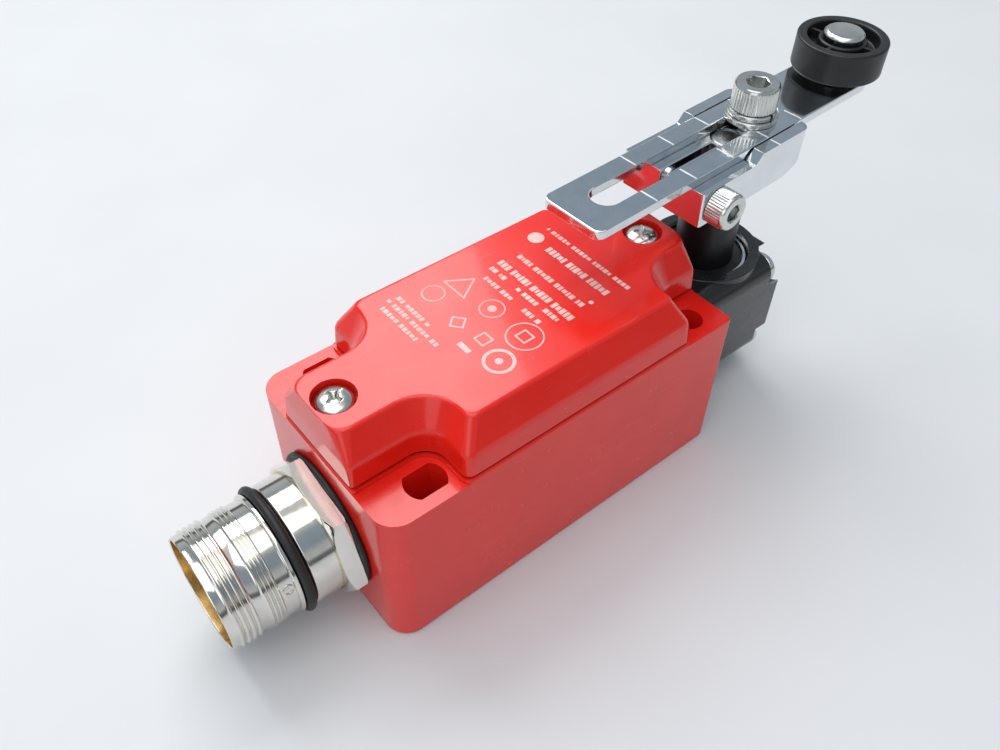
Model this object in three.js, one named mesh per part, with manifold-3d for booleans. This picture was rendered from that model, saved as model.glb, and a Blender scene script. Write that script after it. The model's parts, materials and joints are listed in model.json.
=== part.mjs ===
// Limit switch with an adjustable roller lever: a die-cast housing on a 30 x 60 mm fixing
// pattern, a round plug connector at one end and a turret head with the lever at the other.
// Millimetres. Origin: centre of the fixing pattern on the mounting face. +Z runs up through
// the cover, +X towards the head, and the lever shaft stands along +Z.
import * as THREE from 'three';
import { mergeVertices } from 'three/addons/utils/BufferGeometryUtils.js';
import Module from 'manifold-3d';

const wasm = await Module();
wasm.setup();

// ---------------------------------------------------------------- driving dimensions
const FIXING = { x: 30, y: 15, holeR: 2.65, slotEndR: 3.65 };
const BODY = { back: -40.5, front: 36.5, half: 20, deck: 33.8, floor: 3.5, cornerR: 4.5 };
const WELL = { wideX: 24.2, wideY: 16.8, back: -37.3, front: 30.5, narrowY: 9.4 };
const SEAM = { gasketBottom: 33.85, gasketTop: 34.25, cover: 34.3 };
const COVER = { top: 44, bevelFoot: 38.6, topInset: 3.3, sideHalf: 19.8, tabHalf: 9.8, shoulderX: 25.3 };
const COVER_SCREW = {
  backX: -35.9, frontX: 31, seatZ: 41.7, headR: 3.35, headH: 2.4, boreR: 3.75, shankR: 2, length: 13,
};
const BOSS = { r: 3.8, backZ: 27.2, frontZ: 24.5, earthR: 3.4, earthTop: 7.5 };
const PAD = { z: 33.2, seamGap: 0.35 };
const PORT = {
  z: 16, innerX: -34, threadR: 9.9, rimX: -64.9, sleeveR: 10.95, bodyR: 11.3, boreR: 9.3, pinEndX: -42.5,
  pinTipX: -59.4, pinCircleR: 5.3,
};
const FLANGE = { x0: -44.9, x1: -41.65, flats: 24, turn: 12 };
const O_RING = { x: -50.95, ringR: 11.25, r: 0.95, grooveR: 10.1, grooveFrom: -50, grooveTo: -51.9 };
const INSERT = { x0: -51.4, x1: -45, r: 8.55, faceR: 8, step: 0.5 };
const HEAD = { x0: 36.9, x1: 61, half: 12.5, z: 18, cornerR: 4, towerR: 11.5, screwY: 9.3, screwZ: 8.9 };
const HEAD_SCREW = {
  headR: 3.2, headH: 2.2, shankR: 1.6, length: 26.8, holeR: 1.75, pocketR: 4.2, pocketX: 58.8,
};
const HEAD_CAVITY = { x1: 57.7, half: 6.8, z0: 8, z1: 24.4 };
const TOWER = {
  rise: 0.4, recessR: 9.2, recessDepth: 1.7, ringZ: 28.85, ringTop: 29.7, sealR: 8.1, sealTop: 29.4,
};
const CAM = { r: 6.4, flat: 3.9, z0: 12.6, z1: 21.4 };
const PLUNGER = { z: 17, tailX: 22.6, tailR: 3.2, shoulderX: 26.5, r: 4.2, noseFrom: 42.4, tipX: 44.2 };
const SHAFT = { x: 51, pivotR: 2.5, r: 3, bushR: 6, bottom: 6.4, top: 56.1 };
const HUB = { x0: 33.5, x1: 63.5, half: 9.4, z0: 49.3, z1: 56.2, railTop: 58.05, railX: 48, slit: 1.4 };
const ARM = { z0: 56.25, z1: 58.2, half: 6.8, tailX: 10, slotHalf: 2.8, slotX0: 18.6, slotX1: 61 };
const LEVER_REST_TURN = THREE.MathUtils.degToRad(2.3);
const ROLLER = { x: 84, r: 8.85, z0: 59.3, z1: 65.6, boreR: 3.05 };
const CLAMP = { pinchX: 37.5, pinchZ: 52.75, pinchHeadR: 3.5, boltX: 57.3, boltHeadR: 4.25 };
const CONTACTS = { z: 17, blockTop: 24, terminalY: 13.2, nearX: 9.5, farX: -6.6 };
const BLOCK = { x0: -17, x1: 22.5, half: 16, z0: 3.6, chamberX0: -11.5, chamberX1: 14 };
const BLOCK_SCREW = { x: 18.4, y: 9 };
const EARTH = { x: -28, y: -5 };

// ---------------------------------------------------------------- solids and booleans
function toSolid(geometry) {
  const bare = geometry.clone();
  bare.deleteAttribute('normal');
  bare.deleteAttribute('uv');
  const merged = mergeVertices(bare, 1e-5);
  const index = merged.index.array;
  const kept = [];
  for (let i = 0; i < index.length; i += 3) {
    const [a, b, c] = [index[i], index[i + 1], index[i + 2]];
    if (a !== b && b !== c && c !== a) kept.push(a, b, c);
  }
  const vertProperties = new Float32Array(merged.attributes.position.array);
  return new wasm.Manifold(new wasm.Mesh({ numProp: 3, vertProperties, triVerts: new Uint32Array(kept) }));
}

function toGeometry(solid) {
  const mesh = solid.getMesh();
  const geometry = new THREE.BufferGeometry();
  geometry.setAttribute('position', new THREE.BufferAttribute(new Float32Array(mesh.vertProperties), 3));
  geometry.setIndex(new THREE.BufferAttribute(new Uint32Array(mesh.triVerts), 1));
  return geometry;
}

const join = (first, ...rest) => rest.reduce((sum, solid) => sum.add(solid), first);
const cut = (first, ...rest) => rest.reduce((left, solid) => left.subtract(solid), first);

function box(x0, x1, y0, y1, z0, z1) {
  const geometry = new THREE.BoxGeometry(x1 - x0, y1 - y0, z1 - z0);
  return toSolid(geometry.translate((x0 + x1) / 2, (y0 + y1) / 2, (z0 + z1) / 2));
}

// A round bar from `from` to `to` along one axis, its centre line through the two other places.
function bar(axis, from, to, across, r, segments = 20) {
  const geometry = new THREE.CylinderGeometry(r, r, to - from, segments);
  const middle = (from + to) / 2;
  if (axis === 'x') return toSolid(geometry.rotateZ(-Math.PI / 2).translate(middle, across[0], across[1]));
  if (axis === 'y') return toSolid(geometry.translate(across[0], middle, across[1]));
  return toSolid(geometry.rotateX(Math.PI / 2).translate(across[0], across[1], middle));
}

// A turned shape: [radius, height] pairs spun about the Z axis, in either order.
function turned(profile, segments = 20) {
  const points = profile.map(([r, h]) => new THREE.Vector2(r, h));
  if (THREE.ShapeUtils.area(points) < 0) points.reverse();
  return toSolid(new THREE.LatheGeometry(points, segments).rotateX(Math.PI / 2));
}

function place(solid, x, y, z) {
  return solid.translate([x, y, z]);
}

function prism(shape, z0, z1, curveSegments = 6) {
  const geometry = new THREE.ExtrudeGeometry(shape, { depth: z1 - z0, bevelEnabled: false, curveSegments });
  return toSolid(geometry.translate(0, 0, z0));
}

// A solid through a stack of outlines that all have the same number of points.
function stacked(levels) {
  const count = levels[0].points.length;
  const positions = levels.flatMap(({ z, points }) => points.flatMap((p) => [p.x, p.y, z]));
  const faces = THREE.ShapeUtils.triangulateShape(levels[0].points, []);
  const last = (levels.length - 1) * count;
  const index = [];
  for (const [a, b, c] of faces) {
    index.push(a, c, b);
    index.push(last + a, last + b, last + c);
  }
  for (let level = 0; level < levels.length - 1; level += 1) {
    for (let i = 0; i < count; i += 1) {
      const a = level * count + i;
      const b = level * count + ((i + 1) % count);
      index.push(a, b, b + count);
      index.push(a, b + count, a + count);
    }
  }
  const geometry = new THREE.BufferGeometry();
  geometry.setAttribute('position', new THREE.BufferAttribute(new Float32Array(positions), 3));
  geometry.setIndex(index);
  return toSolid(geometry);
}

function roundedRectangle(x0, x1, y0, y1, r0, r1 = r0) {
  const shape = new THREE.Shape();
  shape.absarc(x1 - r1, y0 + r1, r1, -Math.PI / 2, 0);
  shape.absarc(x1 - r1, y1 - r1, r1, 0, Math.PI / 2);
  shape.absarc(x0 + r0, y1 - r0, r0, Math.PI / 2, Math.PI);
  shape.absarc(x0 + r0, y0 + r0, r0, Math.PI, 1.5 * Math.PI);
  return shape;
}

// A wire or lead: a round section swept along a smooth curve through the points.
function wire(points, r, steps, sides = 6) {
  const section = new THREE.Shape();
  for (let i = 0; i < sides; i += 1) {
    const angle = (2 * Math.PI * i) / sides;
    const [x, y] = [r * Math.cos(angle), r * Math.sin(angle)];
    if (i === 0) section.moveTo(x, y);
    else section.lineTo(x, y);
  }
  section.closePath();
  const extrudePath = new THREE.CatmullRomCurve3(points.map((p) => new THREE.Vector3(...p)));
  return toSolid(new THREE.ExtrudeGeometry(section, { steps, extrudePath, bevelEnabled: false }));
}

// A coil spring about the Z axis from z0 to z1.
function coil(meanR, wireR, z0, z1, turns) {
  const perTurn = 10;
  const points = [];
  for (let i = 0; i <= turns * perTurn; i += 1) {
    const angle = (2 * Math.PI * i) / perTurn;
    const z = z0 + wireR + ((z1 - z0 - 2 * wireR) * i) / (turns * perTurn);
    points.push([meanR * Math.cos(angle), meanR * Math.sin(angle), z]);
  }
  return wire(points, wireR, turns * perTurn, 5);
}

// ---------------------------------------------------------------- materials and nodes
const paint = (color, roughness, metalness) => () => (
  new THREE.MeshStandardMaterial({ color, roughness, metalness }));
const RED_PAINT = paint(0xd4261c, 0.3, 0.1);
const CHROME = paint(0xd9dbdc, 0.15, 1);
const NICKEL = paint(0xc9c6bd, 0.22, 1);
const ZINC = paint(0xb9bcbd, 0.35, 1);
const STEEL = paint(0x9a9c9e, 0.35, 1);
const BLACK_PAINT = paint(0x1a1c1e, 0.45, 0.2);
const BLACK_PLASTIC = paint(0x151517, 0.4, 0);
const GREY_PLASTIC = paint(0x4a4d50, 0.55, 0);
const AMBER_PLASTIC = paint(0xb98945, 0.45, 0);
const RUBBER = paint(0x121212, 0.75, 0);
const BRASS = paint(0xc9a254, 0.3, 1);
const GOLD = paint(0xd8ac4a, 0.2, 1);
const WIRE_BLUE = paint(0x2d4f8f, 0.5, 0);
const WIRE_EARTH = paint(0x6f8f2a, 0.5, 0);

const limitSwitch = new THREE.Group();
const lever = new THREE.Group();
lever.position.set(SHAFT.x, 0, 0);
lever.rotation.z = LEVER_REST_TURN;
limitSwitch.add(lever);

function add(name, solid, material, group = limitSwitch) {
  const mesh = new THREE.Mesh(toGeometry(solid), material());
  mesh.name = name;
  group.add(mesh);
}

// Lever pieces are drawn on the row's axes, straight along +X, and hang in the turned group.
const addToLever = (name, solid, material) => add(name, place(solid, -SHAFT.x, 0, 0), material, lever);

// ---------------------------------------------------------------- screws
// A pan-head screw standing on z = 0 with its shank below, and a cross recess in its crown.
function panScrew(headR, headH, shankR, length, segments = 14) {
  const body = turned([
    [0, -length], [shankR, -length], [shankR, 0], [headR, 0],
    [headR, headH * 0.45], [headR * 0.8, headH * 0.82], [headR * 0.45, headH], [0, headH],
  ], segments);
  const armL = headR * 0.56;
  const armW = headR * 0.14;
  const [z0, z1] = [headH * 0.4, headH + 1];
  return cut(body, box(-armL, armL, -armW, armW, z0, z1), box(-armW, armW, -armL, armL, z0, z1));
}

// A socket-head cap screw standing on z = 0.
function capScrew(headR, headH, shankR, length, hexFlats) {
  const body = turned([
    [0, -length], [shankR - 0.4, -length], [shankR, -length + 0.5], [shankR, 0], [headR, 0],
    [headR, headH - 0.45], [headR - 0.45, headH], [0, headH],
  ], 20);
  return cut(body, bar('z', headH * 0.5, headH + 1, [0, 0], hexFlats / Math.sqrt(3), 6));
}

const alongX = (solid) => solid.rotate([0, 90, 0]);
const alongMinusY = (solid) => solid.rotate([90, 0, 0]);

function washer(outerR, innerR, z0, z1, segments = 24) {
  return turned([[innerR, z0], [outerR, z0], [outerR, z1], [innerR, z1], [innerR, z0]], segments);
}

// ---------------------------------------------------------------- housing
function fixingHoles() {
  const through = [-1, BODY.deck + 1];
  return [-1, 1].flatMap((side) => {
    const round = bar('z', ...through, [FIXING.x, side * FIXING.y], FIXING.holeR);
    const disc = bar('z', ...through, [-FIXING.x, side * FIXING.y], FIXING.slotEndR, 28);
    const band = box(-FIXING.x - 5, -FIXING.x + 5, side * FIXING.y - FIXING.holeR,
      side * FIXING.y + FIXING.holeR, ...through);
    return [round, disc.intersect(band)];
  });
}

function eachHeadScrew(make) {
  const { z, screwY, screwZ } = HEAD;
  return [1, -1].flatMap((up) => [-1, 1].map((side) => make(side * screwY, z + up * screwZ)));
}

function housingBase() {
  const { back, front, half, deck, floor, cornerR } = BODY;
  const plan = prism(roundedRectangle(back, front, -half, half, cornerR, 0.8), 0, deck);
  const side = roundedRectangle(back, front + 5, 0, deck + 5, 0.6);
  const toeR = 3;
  const toe = cut(box(front - toeR, front + 1, -half - 1, half + 1, -1, toeR),
    bar('y', -half - 2, half + 2, [front - toeR, toeR], toeR, 24));
  const sideBody = prism(side, -half - 1, half + 1).rotate([90, 0, 0]);
  const rim = coverOutline(-PAD.seamGap);
  const aboveRim = stacked([{ z: PAD.z - 1, points: rim }, { z: deck + 2, points: rim }]);
  const pads = cut(box(back - 1, front + 1, -half - 1, half + 1, PAD.z, deck + 1), aboveRim);
  const shell = cut(plan.intersect(sideBody), toe, pads);
  const well = join(
    box(-WELL.wideX, WELL.wideX, -WELL.wideY, WELL.wideY, floor, deck + 1),
    box(WELL.back, WELL.front, -WELL.narrowY, WELL.narrowY, floor, deck + 1),
  );
  const bosses = join(
    bar('z', BOSS.backZ, deck, [COVER_SCREW.backX, 0], BOSS.r),
    bar('z', BOSS.frontZ, deck, [COVER_SCREW.frontX, 0], BOSS.r),
    box(back + 1, COVER_SCREW.backX, -BOSS.r, BOSS.r, BOSS.backZ, deck),
    box(COVER_SCREW.frontX, front - 1, -BOSS.r, BOSS.r, BOSS.frontZ, deck),
    bar('z', floor - 1, BOSS.earthTop, [EARTH.x, EARTH.y], BOSS.earthR),
  );
  return cut(
    join(cut(shell, well), bosses),
    ...fixingHoles(),
    bar('x', back - 1, PORT.innerX + 0.5, [0, PORT.z], PORT.threadR + 0.3, 28),
    bar('x', WELL.front - 0.5, front + 1, [0, PLUNGER.z], PLUNGER.r + 0.4, 28),
    ...eachHeadScrew((y, z) => bar('x', 31.4, front + 1, [y, z], HEAD_SCREW.shankR + 0.15, 16)),
    bar('z', 26, deck + 1, [COVER_SCREW.backX, 0], COVER_SCREW.shankR + 0.1, 16),
    bar('z', 23, deck + 1, [COVER_SCREW.frontX, 0], COVER_SCREW.shankR + 0.1, 16),
    bar('z', floor, 8, [EARTH.x, EARTH.y], 1.6, 16),
    ...[-1, 1].map((side) => bar('z', 1, floor + 1, [BLOCK_SCREW.x, side * BLOCK_SCREW.y], 1.6, 16)),
  );
}

// The cover's outline, drawn in by `inset`: a wide middle, a narrower tab at each end, and a
// hollow curve round each fixing hole between them.
function coverOutline(inset) {
  const tab = { r: 0.8 + inset * 0.67, half: COVER.tabHalf + 0.3 - inset * 0.95 };
  const shoulder = { r: 1.7, x: COVER.shoulderX - inset, y: COVER.sideHalf - inset };
  const hollowR = 4.3 + inset;
  const steps = 4;
  const quarter = (endX) => {
    const points = [];
    const arc = (cx, cy, r, from, to) => {
      for (let i = 0; i <= steps; i += 1) {
        const angle = from + ((to - from) * i) / steps;
        points.push([cx + r * Math.cos(angle), cy + r * Math.sin(angle)]);
      }
    };
    arc(endX - tab.r, tab.half - tab.r, tab.r, 0, Math.PI / 2);
    arc(shoulder.x + hollowR, tab.half + hollowR, hollowR, 1.5 * Math.PI, Math.PI);
    arc(shoulder.x - shoulder.r, shoulder.y - shoulder.r, shoulder.r, 0, Math.PI / 2);
    return points;
  };
  const front = quarter(BODY.front - 0.2 - inset * 0.1);
  const back = quarter(-BODY.back - 0.2 - inset * 0.1);
  return [
    ...front,
    ...back.map(([x, y]) => [-x, y]).reverse(),
    ...back.map(([x, y]) => [-x, -y]),
    ...front.map(([x, y]) => [x, -y]).reverse(),
  ].map(([x, y]) => new THREE.Vector2(x, y));
}

function cover() {
  const { cover: seam } = SEAM;
  const { top, bevelFoot, topInset } = COVER;
  const shell = stacked([
    { z: seam, points: coverOutline(0) },
    { z: bevelFoot, points: coverOutline(0.3) },
    { z: top - 0.5, points: coverOutline(topInset - 0.2) },
    { z: top, points: coverOutline(topInset + 0.4) },
  ]);
  const pocket = join(
    box(-22, 22, -14, 14, seam - 1, top - 3),
    box(-22, 22, -16.6, 16.6, seam - 1, bevelFoot - 0.5),
    box(-27, 23, -6.4, 6.4, seam - 1, top - 3),
  );
  const screwBores = [COVER_SCREW.backX, COVER_SCREW.frontX].map((x) => join(
    bar('z', seam - 1, top + 1, [x, 0], COVER_SCREW.shankR + 0.2, 20),
    bar('z', COVER_SCREW.seatZ, top + 1, [x, 0], COVER_SCREW.boreR, 28),
  ));
  return cut(shell, pocket, ...screwBores);
}

function coverGasket() {
  const { gasketBottom: z0, gasketTop: z1 } = SEAM;
  const outer = stacked([z0, z1].map((z) => ({ z, points: coverOutline(0.35) })));
  const inner = stacked([z0 - 1, z1 + 1].map((z) => ({ z, points: coverOutline(2.2) })));
  return cut(outer, inner);
}

// ---------------------------------------------------------------- plug connector
// Outside of the shell as [radius, x] from the inner end of its thread to the front rim. The
// sleeve's coupling thread is a plain cylinder at its outside diameter.
function shellOutside() {
  const { threadR, innerX, bodyR, sleeveR, rimX } = PORT;
  const { grooveR, grooveFrom, grooveTo } = O_RING;
  const collarR = bodyR - 0.1;
  const shoulderX = FLANGE.x1 + 0.05;
  return [
    [threadR, innerX], [threadR, shoulderX], [bodyR, shoulderX], [bodyR, grooveFrom + 0.1],
    [grooveR, grooveFrom], [grooveR, grooveTo], [collarR, grooveTo - 0.1], [collarR, grooveTo - 0.7],
    [sleeveR, grooveTo - 0.9], [sleeveR, rimX + 0.7], [sleeveR - 0.6, rimX],
  ];
}

function connectorShell() {
  const { innerX, threadR, rimX, boreR } = PORT;
  const [seatR, rearR] = [INSERT.r + 0.15, INSERT.r - 0.75];
  const [seatX, rearX] = [INSERT.x0 + 0.2, INSERT.x1 + 0.2];
  const profile = [
    ...shellOutside(),
    [boreR + 0.4, rimX], [boreR, rimX + 1], [boreR, seatX], [seatR, seatX], [seatR, rearX],
    [rearR, rearX], [rearR, innerX], [threadR, innerX],
  ];
  const body = alongX(turned(profile, 28));
  const hexSize = FLANGE.flats / Math.sqrt(3);
  const hex = alongX(bar('z', FLANGE.x0, FLANGE.x1, [0, 0], hexSize, 6).rotate([0, 0, FLANGE.turn]));
  const crown = alongX(turned([
    [0, -46], [11.4, -46], [13.2, -44.2], [14.4, -43.2], [14.4, -41], [0, -41],
  ], 28));
  const flange = cut(hex.intersect(crown), bar('x', -46, -41, [0, 0], threadR - 0.9));
  return place(join(body, flange), 0, 0, PORT.z);
}

function connectorRing() {
  const { x, ringR, r } = O_RING;
  const sides = 8;
  const profile = [];
  for (let i = 0; i <= sides; i += 1) {
    const angle = (2 * Math.PI * i) / sides;
    profile.push([ringR + r * Math.cos(angle), x + r * Math.sin(angle)]);
  }
  return place(alongX(turned(profile, 28)), 0, 0, PORT.z);
}

// Eight signal pins on a circle and one stout earth pin in the middle.
const PINS = [{ y: 0, z: 0, r: 1 }];
for (let i = 0; i < 8; i += 1) {
  const angle = (2 * Math.PI * (i + 0.5)) / 8;
  PINS.push({ y: PORT.pinCircleR * Math.cos(angle), z: PORT.pinCircleR * Math.sin(angle), r: 0.6 });
}

function connectorInsert() {
  const { x0, x1, r: rearR, faceR, step } = INSERT;
  const disc = alongX(turned([
    [0, x0], [faceR, x0], [faceR, x0 + step], [rearR, x0 + step], [rearR, x1], [0, x1],
  ], 24));
  const holes = PINS.map(({ y, z, r }) => bar('x', x0 - 1, x1 + 1, [y, z], r + 0.15, 8));
  return place(cut(disc, ...holes), 0, 0, PORT.z);
}

function connectorPin({ y, z, r }) {
  const { pinTipX, pinEndX } = PORT;
  const pin = alongX(turned([
    [0, pinTipX], [r * 0.5, pinTipX], [r, pinTipX + 0.8], [r, pinEndX], [0, pinEndX],
  ], 8));
  return place(pin, 0, y, PORT.z + z);
}

// ---------------------------------------------------------------- contact block
function contactBlock() {
  const { blockTop, z, terminalY, nearX, farX } = CONTACTS;
  const body = box(BLOCK.x0, BLOCK.x1, -BLOCK.half, BLOCK.half, BLOCK.z0, blockTop);
  const chamber = box(BLOCK.chamberX0, BLOCK.chamberX1, -11, 11, 8, blockTop + 1);
  const guide = box(BLOCK.chamberX1 - 1, BLOCK.x1 + 1, -4, 4, z - 4.8, blockTop + 1);
  const springBore = bar('x', -16.5, BLOCK.chamberX0 + 1, [0, z], 3.3);
  const mounting = [-1, 1].flatMap((side) => [
    bar('z', BLOCK.z0 - 1, 11, [BLOCK_SCREW.x, side * BLOCK_SCREW.y], 1.65, 16),
    bar('z', 10, blockTop + 1, [BLOCK_SCREW.x, side * BLOCK_SCREW.y], 3.2),
  ]);
  const terminalHoles = [nearX, farX].flatMap((x) => [-1, 1].map((side) => (
    bar('z', 15.5, blockTop + 1, [x, side * terminalY], 1.85, 16))));
  return cut(body, chamber, guide, springBore, ...mounting, ...terminalHoles);
}

function contactCarrier() {
  const { z } = CONTACTS;
  const stem = box(-8.3, 22.5, -3.6, 3.6, z - 4.4, z + 4.4);
  const windows = [8, -3].map((x) => box(x - 0.55, x + 0.55, -5, 5, z - 1.65, z + 1.65));
  return cut(stem, ...windows);
}

const bridge = (x) => box(x - 0.4, x + 0.4, -10.5, 10.5, CONTACTS.z - 1.5, CONTACTS.z + 1.5);

// A fixed contact: a leg down into the chamber under a pad that the terminal screw clamps.
function fixedContact(padX, legX, side) {
  const { blockTop, z, terminalY } = CONTACTS;
  const [padZ0, padZ1] = [blockTop + 0.05, blockTop + 0.85];
  const [y0, y1] = side > 0 ? [6.4, 15.6] : [-15.6, -6.4];
  const [legY0, legY1] = side > 0 ? [6.4, 10.6] : [-10.6, -6.4];
  const pad = box(padX - 4, padX + 4, y0, y1, padZ0, padZ1);
  const leg = box(legX, legX + 0.8, legY0, legY1, z - 3.5, padZ1);
  return cut(join(pad, leg), bar('z', blockTop - 1, blockTop + 2, [padX, side * terminalY], 1.95, 16));
}

// ---------------------------------------------------------------- head
function headProfile(inset) {
  const half = HEAD.half - inset;
  return roundedRectangle(-half, half, -half, half, HEAD.cornerR - inset);
}

// Extrudes a shape drawn on the head's end face (first axis down, second axis across) along +X.
const alongHead = (shape, x0, x1) => place(alongX(prism(shape, x0, x1)), 0, 0, HEAD.z);

function headHousing() {
  const deck = HEAD.z + HEAD.half;
  const block = join(
    alongHead(headProfile(0), HEAD.x0, HEAD.x1 - 1),
    alongHead(headProfile(0.8), HEAD.x1 - 1.1, HEAD.x1),
  );
  const { x1, half, z0, z1 } = HEAD_CAVITY;
  const tower = bar('z', HEAD.z, deck + TOWER.rise, [SHAFT.x, 0], HEAD.towerR, 36);
  const cavity = box(HEAD.x0 - 1, x1, -half, half, z0, z1);
  return cut(
    join(block, tower),
    cavity,
    bar('z', SHAFT.bottom - 0.1, z0 + 1, [SHAFT.x, 0], SHAFT.pivotR + 0.1, 20),
    bar('z', z1 - 0.4, deck + 2, [SHAFT.x, 0], SHAFT.bushR + 0.1, 28),
    bar('z', deck - TOWER.recessDepth, deck + 2, [SHAFT.x, 0], TOWER.recessR, 32),
    ...eachHeadScrew((y, z) => bar('x', HEAD.x0 - 1, HEAD.x1 + 1, [y, z], HEAD_SCREW.holeR, 16)),
    ...eachHeadScrew((y, z) => bar('x', HEAD_SCREW.pocketX, HEAD.x1 + 2, [y, z], HEAD_SCREW.pocketR, 28)),
  );
}

function headGasket() {
  const [x0, x1] = [BODY.front + 0.05, HEAD.x0 - 0.05];
  const half = HEAD_CAVITY.half + 0.1;
  return cut(
    alongHead(headProfile(0.3), x0, x1),
    box(x0 - 1, x1 + 1, -half, half, HEAD_CAVITY.z0 - 0.1, HEAD_CAVITY.z1 + 0.1),
    ...eachHeadScrew((y, z) => bar('x', x0 - 1, x1 + 1, [y, z], HEAD_SCREW.holeR, 16)),
  );
}

function leverShaft() {
  const { pivotR, r, bottom, top } = SHAFT;
  const stepZ = CAM.z1 + 0.3;
  return turned([
    [0, bottom], [pivotR, bottom], [pivotR, stepZ], [r, stepZ], [r, top - 0.4], [r - 0.4, top], [0, top],
  ], 28);
}

function cam() {
  const { r, flat, z0, z1 } = CAM;
  const disc = bar('z', z0, z1, [0, 0], r, 36);
  return cut(
    disc,
    box(-r - 1, -flat, -r, r, z0 - 1, z1 + 1),
    bar('z', z0 - 1, z1 + 1, [0, 0], SHAFT.pivotR + 0.1, 20),
  );
}

function drivePlunger() {
  const { tailX, tailR, shoulderX, r, noseFrom, tipX } = PLUNGER;
  return place(alongX(turned([
    [0, tailX], [tailR, tailX], [tailR, shoulderX], [r, shoulderX], [r, noseFrom], [r - 1, tipX - 0.6],
    [r - 2.6, tipX - 0.1], [0, tipX],
  ])), 0, 0, PLUNGER.z);
}

// ---------------------------------------------------------------- lever
function leverHub() {
  const { x0, x1, half, z0, z1, railTop, railX, slit } = HUB;
  const plan = prism(roundedRectangle(x0, x1, -half, half, 0.5, 2), z0, railTop);
  const bed = join(
    box(x0 - 1, x1 + 1, -half + 2.3, half - 2.3, z1, railTop + 1),
    box(x0 - 1, railX, -half - 1, half + 1, z1, railTop + 1),
  );
  const wedge = new THREE.Shape([
    [x1 - 5, z0 - 1], [x1 + 1, z0 - 1], [x1 + 1, z0 + 3.4], [x1 - 2.7, z0 + 0.9], [x1 - 5, z0],
  ].map(([x, z]) => new THREE.Vector2(x, z)));
  return cut(
    plan,
    bed,
    prism(wedge, -half - 1, half + 1).rotate([90, 0, 0]),
    box(x0 - 1, SHAFT.x, -slit / 2, slit / 2, z0 - 1, z1 + 1),
    bar('z', z0 - 1, z1 + 1, [SHAFT.x, 0], SHAFT.r + 0.1, 28),
    bar('z', z0 - 1, z1 + 1, [CLAMP.boltX, 0], 2.6, 24),
    bar('y', -half - 1, half + 1, [CLAMP.pinchX, CLAMP.pinchZ], 2.15, 20),
  );
}

function leverArm() {
  const { z0, z1, half, tailX, slotHalf, slotX0, slotX1 } = ARM;
  const plate = new THREE.Shape();
  const tailR = 1.8;
  plate.absarc(tailX + tailR, -half + tailR, tailR, Math.PI, 1.5 * Math.PI);
  plate.absarc(ROLLER.x, 0, half, -Math.PI / 2, Math.PI / 2);
  plate.absarc(tailX + tailR, half - tailR, tailR, Math.PI / 2, Math.PI);
  const slot = join(
    box(slotX0, slotX1, -slotHalf, slotHalf, z0 - 1, z1 + 1),
    bar('z', z0 - 1, z1 + 1, [slotX0, 0], slotHalf, 24),
    bar('z', z0 - 1, z1 + 1, [slotX1, 0], slotHalf, 24),
  );
  return cut(prism(plate, z0, z1, 10), slot, bar('z', z0 - 1, z1 + 1, [ROLLER.x, 0], 3, 24));
}

function roller() {
  const { r, z0, z1, boreR } = ROLLER;
  const dish = 2.4;
  return turned([
    [boreR, z0], [r - 0.5, z0], [r, z0 + 0.5], [r, z1 - 0.5], [r - 0.5, z1], [r - 1.9, z1],
    [r - 2.1, z1 - dish], [4.9, z1 - dish], [4.7, z1 - 0.3], [boreR, z1 - 0.3], [boreR, z0],
  ], 32);
}

// A shouldered rivet: peened under the arm, a collar between arm and roller, a domed head on top.
function rollerPin() {
  const shankR = 2.9;
  return turned([
    [0, 54.9], [3.2, 54.9], [4, 55.5], [4, ARM.z0 - 0.05], [shankR, ARM.z0 - 0.05], [shankR, ARM.z1 + 0.05],
    [4.8, ARM.z1 + 0.05], [4.8, ROLLER.z0 - 0.1], [shankR, ROLLER.z0 - 0.1], [shankR, ROLLER.z1 - 0.15],
    [4, ROLLER.z1 - 0.15], [4, ROLLER.z1 + 0.35], [2.6, ROLLER.z1 + 1], [0, ROLLER.z1 + 1.25],
  ]);
}

// ---------------------------------------------------------------- assembly: housing and cover
add('housing_base', housingBase(), RED_PAINT);
add('cover_gasket', coverGasket(), RUBBER);
add('cover', cover(), RED_PAINT);
function coverScrew(x) {
  const { headR, headH, shankR, length, seatZ } = COVER_SCREW;
  return place(panScrew(headR, headH, shankR, length), x, 0, seatZ + 0.05);
}
add('cover_screw_connector_end', coverScrew(COVER_SCREW.backX), ZINC);
add('cover_screw_head_end', coverScrew(COVER_SCREW.frontX), ZINC);

// ---------------------------------------------------------------- assembly: connector
add('connector_shell', connectorShell(), NICKEL);
add('connector_seal', place(alongX(washer(13, 10.3, -41.55, -40.55, 28)), 0, 0, PORT.z), RUBBER);
add('connector_o_ring', connectorRing(), RUBBER);
add('connector_insert', connectorInsert(), AMBER_PLASTIC);
PINS.forEach((pin, i) => add(`connector_pin_${i + 1}`, connectorPin(pin), GOLD));

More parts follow.
